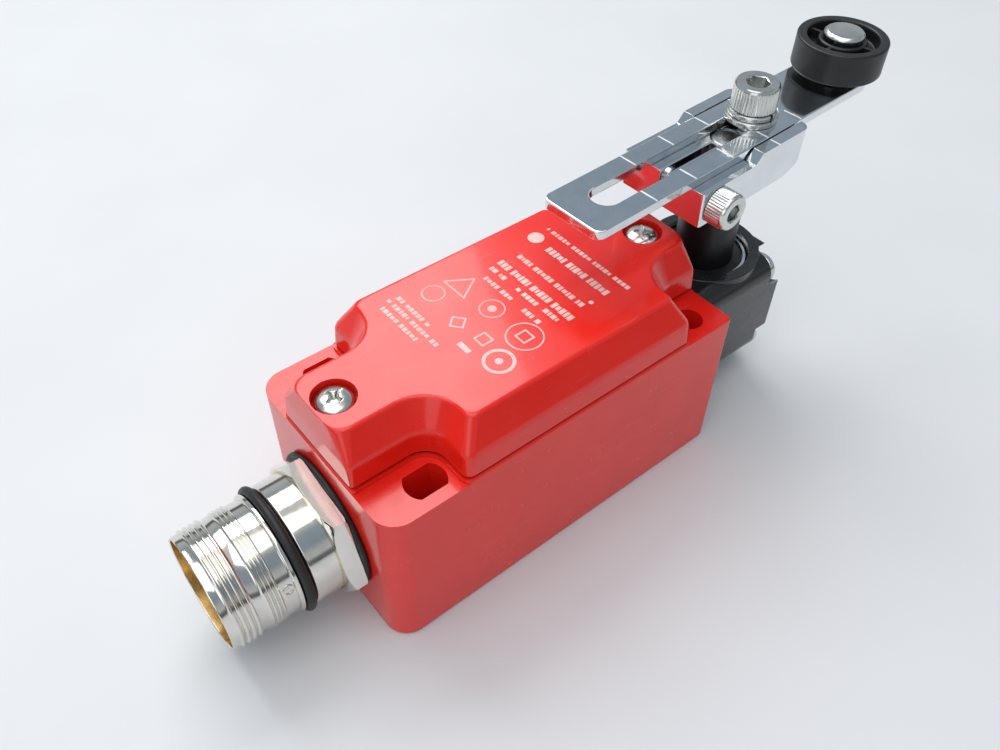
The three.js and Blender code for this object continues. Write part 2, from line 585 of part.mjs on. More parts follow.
// ---------------------------------------------------------------- assembly: contacts
add('contact_block', contactBlock(), GREY_PLASTIC);
add('contact_carrier', contactCarrier(), AMBER_PLASTIC);
add('bridge_normally_closed', bridge(8), BRASS);
add('bridge_normally_open', bridge(-3), BRASS);
const contactSpring = alongX(coil(2.4, 0.4, -16.4, -8.4, 5));
add('contact_spring', place(contactSpring, 0, 0, CONTACTS.z), STEEL);
for (const [sideName, side] of [['near', -1], ['far', 1]]) {
  const screw = () => panScrew(3, 2.1, 1.7, 7.5);
  add(`fixed_contact_closed_${sideName}`, fixedContact(CONTACTS.nearX, 8.7, side), BRASS);
  add(`fixed_contact_open_${sideName}`, fixedContact(CONTACTS.farX, -7, side), BRASS);
  for (const [pole, x] of [['closed', CONTACTS.nearX], ['open', CONTACTS.farX]]) {
    const seat = CONTACTS.blockTop + 0.9;
    add(`terminal_screw_${pole}_${sideName}`, place(screw(), x, side * CONTACTS.terminalY, seat), ZINC);
  }
  const blockScrew = panScrew(2.9, 1.9, 1.45, 8.5);
  add(`contact_block_screw_${sideName}`, place(blockScrew, BLOCK_SCREW.x, side * BLOCK_SCREW.y, 10.05), ZINC);
}
add('earth_screw', place(panScrew(3, 2, 1.5, 3.5), EARTH.x, EARTH.y, 7.55), ZINC);

// Leads from the rear of four pins to the terminals, and from the earth pin to its screw.
function lead(pinIndex, ...route) {
  const { y, z } = PINS[pinIndex];
  return wire([[-42.1, y, PORT.z + z], [-38, y, PORT.z + z], ...route], 0.7, 18);
}
// The far leads run as the near ones do, mirrored.
const TO_OPEN = [[-28, 5.5, 20.5], [-21, 8, 25], [-15, 11, 26.3], [-11.2, 12, 25.6]];
const TO_CLOSED = [[-28, 3.5, 24], [-18, 7, 27.5], [-6, 8, 28], [2, 8, 26.5], [4.9, 8, 25.7]];
const nearSide = (route) => route.map(([x, y, z]) => [x, -y, z]);
add('lead_open_near', lead(4, ...nearSide(TO_OPEN)), WIRE_BLUE);
add('lead_open_far', lead(1, ...TO_OPEN), WIRE_BLUE);
add('lead_closed_near', lead(3, ...nearSide(TO_CLOSED)), WIRE_BLUE);
add('lead_closed_far', lead(2, ...TO_CLOSED), WIRE_BLUE);
add('lead_earth', lead(0, [-34, -1, 14], [-31, -4, 11.5], [-28, -5, 10.9]), WIRE_EARTH);

// ---------------------------------------------------------------- assembly: head
add('head_gasket', headGasket(), RUBBER);
add('head_housing', headHousing(), BLACK_PAINT);
eachHeadScrew((y, z) => ({ y, z })).forEach(({ y, z }, i) => {
  const { headR, headH, shankR, length, pocketX } = HEAD_SCREW;
  const screw = alongX(panScrew(headR, headH, shankR, length));
  add(`head_screw_${i + 1}`, place(screw, pocketX + 0.05, y, z), ZINC);
});
const aboutShaft = (solid) => place(solid, SHAFT.x, 0, 0);
add('shaft_bush', aboutShaft(washer(SHAFT.bushR, SHAFT.r + 0.1, 22, 48.95, 28)), BLACK_PLASTIC);
const { ringZ, ringTop, sealR, sealTop, recessR } = TOWER;
add('shaft_seal', aboutShaft(washer(sealR, SHAFT.bushR + 0.15, ringZ, sealTop, 28)), RUBBER);
add('retaining_ring', aboutShaft(washer(recessR - 0.1, sealR + 0.15, ringZ, ringTop, 32)), CHROME);
add('return_spring', aboutShaft(coil(4.1, 0.5, 8.3, 12.3, 2.5)), STEEL);
add('drive_plunger', drivePlunger(), STEEL);

// ---------------------------------------------------------------- assembly: lever
add('lever_shaft', leverShaft(), STEEL, lever);
add('cam', cam(), STEEL, lever);
addToLever('lever_hub', leverHub(), CHROME);
const pinchScrew = alongMinusY(capScrew(CLAMP.pinchHeadR, 4, 1.95, 17.5, 3));
addToLever('hub_clamp_screw', place(pinchScrew, CLAMP.pinchX, -HUB.half - 0.05, CLAMP.pinchZ), ZINC);
addToLever('lever_arm', leverArm(), CHROME);
addToLever('flat_washer', place(washer(5, 2.6, ARM.z1 + 0.05, ARM.z1 + 1.05), CLAMP.boltX, 0, 0), ZINC);
addToLever('lock_washer', place(washer(4.5, 2.6, ARM.z1 + 1.1, ARM.z1 + 2.1), CLAMP.boltX, 0, 0), ZINC);
const armBolt = capScrew(CLAMP.boltHeadR, 5, 2.4, 9.5, 4);
addToLever('arm_bolt', place(armBolt, CLAMP.boltX, 0, ARM.z1 + 2.15), ZINC);
addToLever('roller_pin', place(rollerPin(), ROLLER.x, 0, 0), ZINC);
addToLever('roller', place(roller(), ROLLER.x, 0, 0), BLACK_PLASTIC);

export default limitSwitch;
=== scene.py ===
"""Looks of a limit switch: a red die-cast housing with a screwed cover, a round plug connector at
one end, and a black turret head that carries an adjustable roller lever. Shapes are worked out in
millimetres from the boxes of the CAD nodes and turned into metres when a mesh is made."""
import json
import math

import bmesh
import bpy
from mathutils import Matrix, Vector


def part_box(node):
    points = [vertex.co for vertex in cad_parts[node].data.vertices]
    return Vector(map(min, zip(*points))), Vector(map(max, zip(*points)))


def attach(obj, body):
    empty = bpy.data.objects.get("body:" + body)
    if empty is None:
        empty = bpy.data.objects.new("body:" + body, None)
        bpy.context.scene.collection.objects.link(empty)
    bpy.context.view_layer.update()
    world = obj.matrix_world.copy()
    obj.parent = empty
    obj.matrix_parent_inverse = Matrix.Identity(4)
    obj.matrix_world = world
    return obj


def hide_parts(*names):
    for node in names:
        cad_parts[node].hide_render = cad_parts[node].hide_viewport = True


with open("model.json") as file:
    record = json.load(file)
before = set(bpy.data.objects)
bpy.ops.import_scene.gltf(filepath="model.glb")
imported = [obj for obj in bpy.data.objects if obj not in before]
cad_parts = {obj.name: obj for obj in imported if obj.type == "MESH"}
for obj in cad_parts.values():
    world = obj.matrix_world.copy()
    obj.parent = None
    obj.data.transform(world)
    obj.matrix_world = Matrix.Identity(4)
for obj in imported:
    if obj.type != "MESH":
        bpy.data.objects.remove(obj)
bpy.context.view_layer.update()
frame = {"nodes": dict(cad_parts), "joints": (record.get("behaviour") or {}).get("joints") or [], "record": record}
MM = 0.001
FINE = 96        # sides of a large turned piece
SMALL = 48       # sides of a small one


# ---------------------------------------------------------------- camera and studio
CAMERA_AT = (-76.97, -89.36, 149.32)
CAMERA_AIM = (13.78, 19.82, 0)
CAMERA_ROLL = 1.075
CAMERA_LENS = 33.17


def make_camera():
    camera = bpy.data.objects.new("camera", bpy.data.cameras.new("camera"))
    bpy.context.scene.collection.objects.link(camera)
    camera.data.lens = CAMERA_LENS
    camera.data.clip_start = 0.005
    camera.location = Vector(CAMERA_AT) * MM
    aim = (Vector(CAMERA_AIM) - Vector(CAMERA_AT)).to_track_quat("-Z", "Y")
    camera.rotation_mode = "QUATERNION"
    camera.rotation_quaternion = aim @ Matrix.Rotation(math.radians(CAMERA_ROLL), 3, "Z").to_quaternion()
    bpy.context.scene.camera = camera


def soft_light(name, at, power, size, color=(1, 1, 1)):
    lamp = bpy.data.lights.new(name, "AREA")
    lamp.shape = "RECTANGLE"
    lamp.size, lamp.size_y = size
    lamp.energy = power
    lamp.color = color
    holder = bpy.data.objects.new(name, lamp)
    bpy.context.scene.collection.objects.link(holder)
    holder.location = at
    holder.rotation_euler = (Vector((0.01, 0, 0.02)) - Vector(at)).to_track_quat("-Z", "Y").to_euler()


def make_studio():
    floor = bpy.data.objects.new("floor", bpy.data.meshes.new("floor"))
    reach = 3.0
    corners = [(-reach, -reach, 0), (reach, -reach, 0), (reach, reach, 0), (-reach, reach, 0)]
    floor.data.from_pydata(corners, [], [(0, 1, 2, 3)])
    bpy.context.scene.collection.objects.link(floor)
    floor.location.z = -0.05 * MM
    floor.data.materials.append(plain_floor())
    soft_light("key", (0.10, 0.55, 0.75), 5.2, (0.7, 0.5))
    soft_light("overhead", (-0.25, -0.1, 0.9), 3.9, (0.9, 0.9))
    soft_light("fill", (-0.75, -0.45, 0.35), 1.0, (0.5, 0.5), (0.93, 0.96, 1))
    make_sky()
    bpy.context.scene.view_settings.view_transform = "Standard"


def make_sky():
    """A pale room: white overhead, cooler grey walls and a dark line low down for metal to mirror.
    The camera itself only ever sees plain pale grey."""
    world = bpy.data.worlds.new("studio")
    bpy.context.scene.world = world
    world.use_nodes = True
    net = Net(world.node_tree)
    split = net.add("ShaderNodeSeparateXYZ", {0: net.add("ShaderNodeTexCoord").outputs["Generated"]})
    height = net.add("ShaderNodeMapRange", {"Value": split.outputs["Z"], "From Min": -1.0, "From Max": 1.0})
    walls = net.ramp(height.outputs[0], [
        (0.0, (0.55, 0.56, 0.57)), (0.49, (0.52, 0.53, 0.54)), (0.51, (0.16, 0.17, 0.17)),
        (0.56, (0.22, 0.24, 0.25)), (0.60, (0.80, 0.82, 0.84)), (0.68, (0.70, 0.74, 0.78)),
        (0.76, (0.42, 0.52, 0.62)), (0.90, (0.46, 0.56, 0.66)), (0.96, (1.0, 1.0, 1.0)),
    ])
    mirrored = net.add("ShaderNodeBackground", {"Color": walls, "Strength": 0.62})
    seen = net.add("ShaderNodeBackground", {"Color": (0.72, 0.73, 0.74, 1), "Strength": 0.8})
    path = net.add("ShaderNodeLightPath")
    mix = net.add("ShaderNodeMixShader", {0: path.outputs["Is Camera Ray"], 1: mirrored, 2: seen})
    net.link(mix.outputs[0], net.tree.nodes["World Output"].inputs["Surface"])


# ---------------------------------------------------------------- materials
class Net:
    """A node tree that is written one node at a time: add(kind, {input: value or socket or node})."""

    def __init__(self, tree):
        self.tree = tree

    def link(self, source, target):
        self.tree.links.new(source, target)

    def add(self, kind, inputs=(), **settings):
        node = self.tree.nodes.new(kind)
        for name, value in settings.items():
            setattr(node, name, value)
        for name, value in dict(inputs).items():
            if isinstance(value, bpy.types.Node):
                value = value.outputs[0]
            if isinstance(value, bpy.types.NodeSocket):
                self.link(value, node.inputs[name])
            else:
                node.inputs[name].default_value = value
        return node

    def ramp(self, value, stops, interpolation="LINEAR"):
        """A colour ramp through (place, colour or grey) stops."""
        node = self.add("ShaderNodeValToRGB", {0: value})
        node.color_ramp.interpolation = interpolation
        elements = node.color_ramp.elements
        while len(elements) < len(stops):
            elements.new(1.0)
        for element, (place, color) in zip(elements, stops):
            element.position = place
            element.color = (*color, 1) if isinstance(color, tuple) else (color, color, color, 1)
        return node.outputs[0]

    def noise(self, size_mm, detail=3.0, roughness=0.5, stretch=None):
        """Noise whose blots are about size_mm across, drawn out along an axis by stretch."""
        place = self.add("ShaderNodeTexCoord").outputs["Object"]
        if stretch:
            place = self.add("ShaderNodeMapping", {"Vector": place, "Scale": stretch})
        scale = 1 / (size_mm * MM)
        return self.add("ShaderNodeTexNoise", {
            "Vector": place, "Scale": scale, "Detail": detail, "Roughness": roughness}).outputs[0]

    def band(self, value, low, high, out_low, out_high):
        return self.add("ShaderNodeMapRange", {
            "Value": value, "From Min": low, "From Max": high,
            "To Min": out_low, "To Max": out_high}).outputs[0]

    def mix(self, share, a, b):
        node = self.add("ShaderNodeMix", {"Factor": share}, data_type="RGBA")
        for socket, value in ((node.inputs[6], a), (node.inputs[7], b)):
            if isinstance(value, bpy.types.NodeSocket):
                self.link(value, socket)
            else:
                socket.default_value = (*value, 1)
        return node.outputs[2]

    def math(self, operation, a, b=0.0):
        return self.add("ShaderNodeMath", {0: a, 1: b}, operation=operation).outputs[0]

    def bump(self, height, depth_mm, onto=None):
        inputs = {"Height": height, "Distance": depth_mm * MM, "Strength": 1.0}
        if onto:
            inputs["Normal"] = onto
        return self.add("ShaderNodeBump", inputs).outputs[0]


def new_material(name, **constants):
    """A material with a Principled shader; constants are set on its own sockets."""
    material = bpy.data.materials.new(name)
    material.use_nodes = True
    net = Net(material.node_tree)
    shader = material.node_tree.nodes["Principled BSDF"]
    for socket, value in constants.items():
        shader.inputs[socket.replace("_", " ")].default_value = value
    return material, net, shader.inputs


def plain_floor():
    material, net, shader = new_material("pale_floor", Roughness=0.55)
    tone = net.ramp(net.noise(60), [(0.3, (0.66, 0.67, 0.68)), (0.7, (0.69, 0.70, 0.71))])
    net.link(tone, shader["Base Color"])
    return material


def scratches(net, width_mm, length_mm, share, turn):
    """Fine straight scratches: 1 on a scratch and 0 beside it."""
    place = net.add("ShaderNodeTexCoord").outputs["Object"]
    place = net.add("ShaderNodeMapping", {
        "Vector": place, "Rotation": turn, "Scale": (1 / length_mm, 1 / width_mm, 1 / width_mm)}).outputs[0]
    grain = net.add("ShaderNodeTexNoise", {"Vector": place, "Scale": 1 / MM, "Detail": 1.0}).outputs[0]
    return net.band(grain, 1 - share, 1 - share * 0.86, 0.0, 1.0)


def red_paint():
    """Stoved red paint: a shallow orange peel, uneven gloss, dust in the film and rubbed-on scuffs."""
    material, net, shader = new_material(
        "red_paint", Coat_Weight=0.3, Coat_Roughness=0.06, Specular_IOR_Level=0.42, Metallic=0.0)
    body = net.ramp(net.noise(14, 4), [(0.3, (0.76, 0.013, 0.006)), (0.7, (0.82, 0.017, 0.008))])
    lines = scratches(net, 0.12, 7.0, 0.32, (0.2, 0.5, 0.6))
    rub = net.math("MULTIPLY", lines, net.band(net.noise(9), 0.5, 0.7, 0, 1))
    smear = net.band(net.noise(7, 5, 0.65, (1, 1, 2.2)), 0.60, 0.80, 0.0, 0.14)
    body = net.mix(smear, body, (0.34, 0.020, 0.014))
    body = net.mix(net.math("MULTIPLY", rub, 0.55), body, (0.86, 0.22, 0.16))
    net.link(body, shader["Base Color"])
    gloss = net.math("ADD", net.band(net.noise(6, 4), 0.3, 0.7, 0.20, 0.28), net.math("MULTIPLY", smear, 0.5))
    net.link(gloss, shader["Roughness"])
    peel = net.bump(net.noise(1.4, 1), 0.0035)
    net.link(net.bump(net.noise(0.25, 1), 0.0005, peel), shader["Normal"])
    return material


def plated(name, low, high, rough, grain_mm, turned_axis=None, pits=0.0005):
    """Bright metal: its colour and gloss drift a little, with fine machining marks and handling marks."""
    material, net, shader = new_material(name, Metallic=1.0)
    cloud = net.noise(3.5, 5, 0.6)
    net.link(net.ramp(cloud, [(0.32, low), (0.68, high)]), shader["Base Color"])
    wipe = net.band(net.noise(1.6, 6, 0.7), 0.35, 0.75, rough[0], rough[1])
    net.link(wipe, shader["Roughness"])
    stretch = turned_axis or (1, 1, 1)
    marks = net.bump(net.noise(grain_mm, 2, 0.5, stretch), 0.0003)
    net.link(net.bump(net.noise(0.9, 2), pits, marks), shader["Normal"])
    return material


def chrome():
    return plated("chrome", (0.72, 0.74, 0.76), (0.80, 0.82, 0.83), (0.07, 0.16), 0.12, (0.06, 1, 1), 0.0004)


def bright_nickel():
    return plated("nickel", (0.70, 0.68, 0.63), (0.79, 0.77, 0.72), (0.07, 0.17), 0.12,
                  (1, 0.02, 0.02), 0.0005)


def zinc_plate():
    return plated("zinc", (0.60, 0.61, 0.58), (0.74, 0.74, 0.71), (0.17, 0.30), 0.22, None, 0.0009)


def blank_steel():
    return plated("steel", (0.46, 0.47, 0.48), (0.58, 0.58, 0.59), (0.24, 0.40), 0.15, (1, 1, 0.1), 0.0009)


def brass():
    return plated("brass", (0.68, 0.48, 0.18), (0.78, 0.56, 0.24), (0.18, 0.34), 0.18, None, 0.0009)


def gold():
    return plated("gold", (0.83, 0.58, 0.22), (0.90, 0.66, 0.28), (0.12, 0.22), 0.12, None, 0.0005)


def moulded(name, low, high, rough, grain_mm, grain_depth, dust=0.0, dust_color=(0.20, 0.20, 0.19),
            **constants):
    """A dielectric skin: moulded grain, gloss that varies with handling, and a little settled dust."""
    material, net, shader = new_material(name, Metallic=0.0, **constants)
    body = net.ramp(net.noise(5, 4), [(0.3, low), (0.7, high)])
    if dust:
        body = net.mix(net.band(net.noise(1.3, 8, 0.75), 0.58, 0.80, 0.0, dust), body, dust_color)
    net.link(body, shader["Base Color"])
    net.link(net.band(net.noise(2.2, 5), 0.3, 0.7, *rough), shader["Roughness"])
    coarse = net.bump(net.noise(grain_mm * 7, 2), grain_depth * 2)
    net.link(net.bump(net.noise(grain_mm, 2), grain_depth, coarse), shader["Normal"])
    return material


def black_paint():
    return moulded("black_paint", (0.006, 0.0065, 0.007), (0.010, 0.0105, 0.011), (0.24, 0.34),
                   0.20, 0.0010, 0.06, Coat_Weight=0.3, Coat_Roughness=0.15)


def black_plastic():
    return moulded("black_plastic", (0.006, 0.006, 0.007), (0.010, 0.010, 0.011), (0.34, 0.46),
                   0.12, 0.0009, 0.05)


def grey_plastic():
    return moulded("grey_plastic", (0.060, 0.066, 0.072), (0.075, 0.081, 0.087), (0.48, 0.60), 0.14, 0.0020)


def amber_plastic():
    return moulded("amber_plastic", (0.42, 0.22, 0.055), (0.50, 0.27, 0.075), (0.34, 0.46), 0.14, 0.0016)


def rubber():
    return moulded("rubber", (0.006, 0.006, 0.0065), (0.010, 0.010, 0.0105), (0.46, 0.60), 0.10, 0.0012, 0.08)


def white_print():
    """Screen-printed ink: a little of the red shows through where the film is thin."""
    return moulded("white_print", (0.76, 0.42, 0.38), (0.86, 0.58, 0.54), (0.34, 0.44), 0.10, 0.0006)


def blue_sleeve():
    return moulded("wire_blue", (0.020, 0.065, 0.26), (0.028, 0.085, 0.32), (0.40, 0.52), 0.20, 0.0015)


def striped_sleeve():
    """Green earth-wire sleeving with a yellow stripe along it."""
    material, net, shader = new_material("wire_earth", Metallic=0.0)
    split = net.add("ShaderNodeSeparateXYZ", {0: net.add("ShaderNodeNewGeometry").outputs["Normal"]})
    stripe = net.band(split.outputs["Y"], -0.05, 0.05, 0.0, 1.0)
    net.link(net.mix(stripe, (0.04, 0.20, 0.05), (0.72, 0.56, 0.05)), shader["Base Color"])
    net.link(net.band(net.noise(1.5), 0.3, 0.7, 0.40, 0.52), shader["Roughness"])
    return material


def engraving_painted_highlight():
    """The floor of a cut graduation, with a painted highlight: bright, rough metal that stays light whatever the
    plate mirrors, in place of the sky the marks reflect.
    """
    material, net, shader = new_material("engraving_painted_highlight", Metallic=0.35)
    # painted highlight: a near-white colour that keeps the marks bright under any lamp
    tone = net.ramp(net.noise(0.3, 4), [(0.3, (0.80, 0.81, 0.82)), (0.7, (0.92, 0.92, 0.92))])
    net.link(tone, shader["Base Color"])
    net.link(net.band(net.noise(0.4), 0.3, 0.7, 0.45, 0.65), shader["Roughness"])
    return material


MAKERS = {
    "red_paint": red_paint, "chrome": chrome, "nickel": bright_nickel, "zinc": zinc_plate,
    "steel": blank_steel, "black_paint": black_paint, "black_plastic": black_plastic,
    "grey_plastic": grey_plastic, "amber_plastic": amber_plastic, "rubber": rubber, "brass": brass,
    "gold": gold, "wire_blue": blue_sleeve, "wire_earth": striped_sleeve,
}
FINISHES = {slot: make() for slot, make in MAKERS.items()}
# the finish of the cut marks is a painted highlight
ENGRAVING_PAINTED_HIGHLIGHT = engraving_painted_highlight()


# ---------------------------------------------------------------- outlines
def arc(cx, cy, r, start, stop, steps=12):
    """Points along an arc, in degrees."""
    turns = [math.radians(start + (stop - start) * i / steps) for i in range(steps + 1)]
    return [(cx + r * math.cos(t), cy + r * math.sin(t)) for t in turns]


def eased(points, r, steps=4):
    """An open run of points with each corner between its ends rounded by a curve of about radius r."""
    out = [points[0]]
    for before, at, after in zip(points, points[1:], points[2:]):
        a, p, b = Vector(before), Vector(at), Vector(after)
        into, away = p - a, b - p
        reach = min(r, into.length * 0.45, away.length * 0.45)
        if reach < 1e-4:
            out.append(at)
            continue
        start, end = p - into.normalized() * reach, p + away.normalized() * reach
        for i in range(steps + 1):
            t = i / steps
            out.append(tuple(start * (1 - t) ** 2 + p * 2 * t * (1 - t) + end * t * t))
    return [*out, points[-1]]


def rounded_box(x0, x1, y0, y1, r0, r1=None, steps=12):
    """A rectangle with corners of radius r0 at its low-x end and r1 at its high-x end."""
    r1 = r0 if r1 is None else r1
    return [
        *arc(x1 - r1, y0 + r1, r1, -90, 0, steps), *arc(x1 - r1, y1 - r1, r1, 0, 90, steps),
        *arc(x0 + r0, y1 - r0, r0, 90, 180, steps), *arc(x0 + r0, y0 + r0, r0, 180, 270, steps),
    ]


# ---------------------------------------------------------------- meshes
def to_object(name, bm):
    """Turns a mesh drawn in millimetres into an object in metres."""
    bmesh.ops.remove_doubles(bm, verts=bm.verts, dist=1e-4)
    bmesh.ops.recalc_face_normals(bm, faces=bm.faces)
    bmesh.ops.scale(bm, vec=(MM, MM, MM), verts=bm.verts)
    mesh = bpy.data.meshes.new(name)
    bm.to_mesh(mesh)
    bm.free()
    obj = bpy.data.objects.new(name, mesh)
    bpy.context.scene.collection.objects.link(obj)
    return obj


def stacked(name, rings):
    """A closed skin through rings of points that all have the same count, with flat ends."""
    bm = bmesh.new()
    made = [[bm.verts.new(p) for p in ring] for ring in rings]
    count = len(rings[0])
    for low, high in zip(made, made[1:]):
        for i in range(count):
            j = (i + 1) % count
            bm.faces.new((low[i], low[j], high[j], high[i]))
    bm.faces.new(made[0][::-1])
    bm.faces.new(made[-1])
    return to_object(name, bm)


def prism(name, outline, z0, z1):
    return stacked(name, [[(x, y, z) for x, y in outline] for z in (z0, z1)])


def block(name, x0, x1, y0, y1, z0, z1):
    return prism(name, [(x0, y0), (x1, y0), (x1, y1), (x0, y1)], z0, z1)


def side_prism(name, outline, y0, y1):
    """An outline in the XZ plane, drawn out along Y."""
    return stacked(name, [[(x, y, z) for x, z in outline] for y in (y0, y1)])


def end_prism(name, outline, x0, x1):
    """An outline in the YZ plane, drawn out along X."""
    return stacked(name, [[(x, y, z) for y, z in outline] for x in (x0, x1)])


TURN_AXES = {
    "x": lambda r, h, t: (h, r * math.cos(t), r * math.sin(t)),
    "y": lambda r, h, t: (r * math.cos(t), h, r * math.sin(t)),
    "z": lambda r, h, t: (r * math.cos(t), r * math.sin(t), h),
}


def turned(name, profile, at=(0, 0, 0), axis="z", sides=FINE, swell=None):
    """A profile of (radius, height) points spun about an axis through at. A profile that doesn't start and
    end on the axis closes on itself. swell(turn, height) adds to the radius."""
    bm = bmesh.new()
    closed = profile[0][0] > 1e-6
    rings = []
    for r, h in profile:
        if r <= 1e-6:
            rings.append([bm.verts.new(Vector(at) + Vector(TURN_AXES[axis](0, h, 0)))])
            continue
        ring = []
        for i in range(sides):
            t = 2 * math.pi * i / sides
            grown = r + (swell(t, h) if swell else 0)
            ring.append(bm.verts.new(Vector(at) + Vector(TURN_AXES[axis](grown, h, t))))
        rings.append(ring)
    pairs = list(zip(rings, rings[1:]))
    if closed:
        pairs.append((rings[-1], rings[0]))
    for a, b in pairs:
        for i in range(sides):
            j = (i + 1) % sides
            if len(a) == 1 and len(b) == 1:
                break
            if len(a) == 1:
                bm.faces.new((a[0], b[j], b[i]))
            elif len(b) == 1:
                bm.faces.new((a[i], a[j], b[0]))
            else:
                bm.faces.new((a[i], a[j], b[j], b[i]))
    return to_object(name, bm)


def bar(name, axis, h0, h1, at, r, sides=SMALL):
    return turned(name, [(0, h0), (r, h0), (r, h1), (0, h1)], at, axis, sides)


def settle(obj):
    """Turns what obj's modifiers make into its own mesh."""
    graph = bpy.context.evaluated_depsgraph_get()
    mesh = bpy.data.meshes.new_from_object(obj.evaluated_get(graph))
    obj.modifiers.clear()
    obj.data = mesh


def combine(obj, others, operation):
    for other in others:
        step = obj.modifiers.new(operation.lower(), "BOOLEAN")
        step.operation = operation
        step.solver = "EXACT"
        step.object = other
    settle(obj)
    for other in others:
        bpy.data.objects.remove(other)
    return obj


def cut(obj, *tools):
    return combine(obj, tools, "DIFFERENCE")


def join(obj, *others):
    return combine(obj, others, "UNION")


def tidy_mesh(obj, flat=0.6):
    """Merges doubled points and dissolves the edges that lie inside a flat face."""
    bm = bmesh.new()
    bm.from_mesh(obj.data)
    bmesh.ops.remove_doubles(bm, verts=bm.verts, dist=0.004 * MM)
    bmesh.ops.dissolve_limit(bm, angle_limit=math.radians(flat), verts=bm.verts, edges=bm.edges)
    bmesh.ops.dissolve_degenerate(bm, edges=bm.edges, dist=0.004 * MM)
    bm.to_mesh(obj.data)
    bm.free()


def ease_edges(obj, width_mm, angle=32, segments=3):
    """Rounds the edges sharper than angle and shades the rest smooth."""
    tidy_mesh(obj)
    if width_mm:
        step = obj.modifiers.new("edges", "BEVEL")
        step.limit_method = "ANGLE"
        step.angle_limit = math.radians(angle)
        step.width = width_mm * MM
        step.segments = segments
        step.use_clamp_overlap = True
        step.miter_outer = "MITER_ARC"
        settle(obj)
    obj.data.shade_smooth()
    obj.data.set_sharp_from_angle(angle=math.radians(angle))
    step = obj.modifiers.new("shading", "WEIGHTED_NORMAL")
    step.keep_sharp = True
    step.weight = 80


def dress(obj, slot, body, *nodes):
    """Gives a piece its finish, stands it in for its CAD nodes and hangs it on its body."""
    obj.data.materials.clear()
    obj.data.materials.append(FINISHES[slot])
    if nodes:
        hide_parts(*nodes)
    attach(obj, body)
    return obj


# ---------------------------------------------------------------- places from the frame
class Span:
    """A CAD node's box in millimetres."""

    def __init__(self, node):
        low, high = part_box(node)
        self.x0, self.y0, self.z0 = low / MM
        self.x1, self.y1, self.z1 = high / MM
        self.x, self.y, self.z = (low + high) / 2 / MM


JOINTS = {joint["name"]: joint for joint in frame["joints"]}
SHAFT_X = JOINTS["lever_swing"]["pos_m"][0] / MM
SLIDE_AXIS = JOINTS["arm_slide"]["axis"]
LEVER_TURN = math.atan2(SLIDE_AXIS[1], SLIDE_AXIS[0])


def to_lever(obj):
    """Turns a piece drawn straight along +X into the lever's resting direction."""
    about = Matrix.Translation((SHAFT_X * MM, 0, 0))
    obj.data.transform(about @ Matrix.Rotation(LEVER_TURN, 4, "Z") @ about.inverted())
    return obj


def along_lever(node):
    """How far from the shaft a lever node's middle lies."""
    span = Span(node)
    return SHAFT_X + math.hypot(span.x - SHAFT_X, span.y)


# ---------------------------------------------------------------- housing
BASE = Span("housing_base")
CAP = Span("cover")
HALF = BASE.y1
SLOT_X, HOLE_X, FIX_Y = -30.0, 30.0, 15.0
FIX_R, SLOT_R = 2.65, 3.65
PAD_Z = BASE.z1 - 0.6


def cover_outline(inset, steps=14):
    """The cover's outline drawn in by inset: a wide middle, end tabs and a hollow round each fixing hole."""
    tab_r, shoulder_r = 0.8 + inset * 0.67, 1.7
    tab_half = 10.1 - inset * 0.95
    shoulder_x, shoulder_y = 25.3 - inset, CAP.y1 - inset
    hollow_r = 4.3 + inset

    def quarter(end_x):
        return [
            *arc(end_x - tab_r, tab_half - tab_r, tab_r, 0, 90, steps),
            *arc(shoulder_x + hollow_r, tab_half + hollow_r, hollow_r, 270, 180, steps + 6),
            *arc(shoulder_x - shoulder_r, shoulder_y - shoulder_r, shoulder_r, 0, 90, steps),
        ]

    front = quarter(CAP.x1 - inset * 0.1)
    back = quarter(-CAP.x0 - inset * 0.1)
    return [
        *front, *[(-x, y) for x, y in reversed(back)], *[(-x, -y) for x, y in back],
        *[(x, -y) for x, y in reversed(front)],
    ]


def fixing_cutters():
    """Two round holes at the head end and two slots at the connector end, right through."""
    tools = []
    z0, z1 = -1, BASE.z1 + 1
    for side in (-1, 1):
        y = side * FIX_Y
        tools.append(bar("tool", "z", z0, z1, (HOLE_X, y, 0), FIX_R, FINE))
        lean = math.degrees(math.asin(FIX_R / SLOT_R))
        ends = [*arc(SLOT_X, y, SLOT_R, -lean, lean, 16), *arc(SLOT_X, y, SLOT_R, 180 - lean, 180 + lean, 16)]
        tools.append(prism("tool", ends, z0, z1))
    return tools


